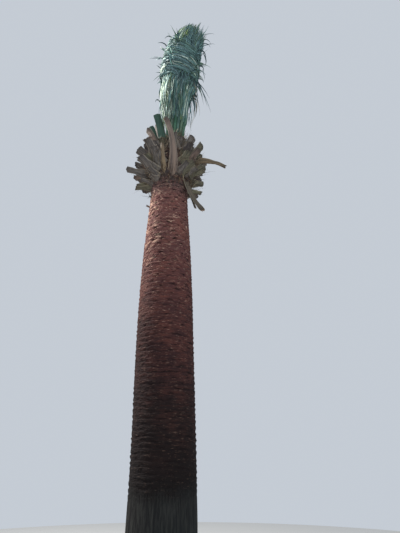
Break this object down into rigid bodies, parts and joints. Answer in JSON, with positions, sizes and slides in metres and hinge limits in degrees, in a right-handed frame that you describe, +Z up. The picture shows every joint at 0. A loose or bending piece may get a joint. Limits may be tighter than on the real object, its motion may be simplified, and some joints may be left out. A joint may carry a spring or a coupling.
{
  "type": "date palm tree",
  "caption": "Newly planted date palm: a tall trimmed trunk, a crown of cut leaf bases, and every frond tied upright in one bundle wound round near its top.",
  "frame": {"origin": "middle of the flat cut under the trunk, at ground level", "axes": "+Z up along the trunk, -Y towards the viewer of the picture, +X to the viewer's right"},
  "size_m": [1.117, 1.1083, 6.39],
  "materials": {
    "bark": "rough reddish-brown trunk with rows of shaved diamond leaf scars, grey-brown at the foot",
    "leaf_base": "dry grey-brown to olive fibrous leaf bases with pale cut ends",
    "green_petiole": "smooth waxy dark green petiole, cut across",
    "fronds": "matt waxy blue-green leaflets",
    "heart_leaflets": "satin yellow-green young leaflets"
  },
  "bodies": {
    "root": {"brown_petiole_left": "leaf_base", "dry_petiole_right": "leaf_base", "frond_01": "fronds", "frond_02": "fronds", "frond_03": "fronds", "frond_04": "fronds", "frond_05": "fronds", "frond_06": "fronds", "frond_07": "fronds", "frond_08": "fronds", "frond_09": "fronds", "frond_10": "fronds", "frond_11": "fronds", "frond_12": "fronds", "frond_13": "fronds", "frond_14": "fronds", "frond_15": "fronds", "frond_16": "fronds", "front_petiole_short": "leaf_base", "front_petiole_tall": "leaf_base", "green_petiole_middle": "green_petiole", "green_petiole_tall": "green_petiole", "hanging_dead_base": "leaf_base", "heart_fronds": "heart_leaflets", "leaf_bases_01": "leaf_base", "leaf_bases_02": "leaf_base", "leaf_bases_03": "leaf_base", "leaf_bases_04": "leaf_base", "leaf_bases_05": "leaf_base", "leaf_bases_06": "leaf_base", "leaf_bases_07": "leaf_base", "leaf_bases_08": "leaf_base", "leaf_bases_09": "leaf_base", "leaf_bases_10": "leaf_base", "leaf_bases_11": "leaf_base", "leaf_bases_12": "leaf_base", "leaf_bases_13": "leaf_base", "leaf_bases_14": "leaf_base", "leaf_bases_15": "leaf_base", "leaf_bases_16": "leaf_base", "leaf_bases_17": "leaf_base", "leaf_bases_18": "leaf_base", "leaf_bases_19": "leaf_base", "leaf_bases_20": "leaf_base", "leaf_bases_21": "leaf_base", "leaf_bases_22": "leaf_base", "leaf_bases_23": "leaf_base", "leaf_bases_24": "leaf_base", "leaf_bases_25": "leaf_base", "leaf_bases_26": "leaf_base", "leaf_bases_27": "leaf_base", "leaf_bases_28": "leaf_base", "leaf_bases_29": "leaf_base", "trunk": "bark"}
  },
  "joints": []
}
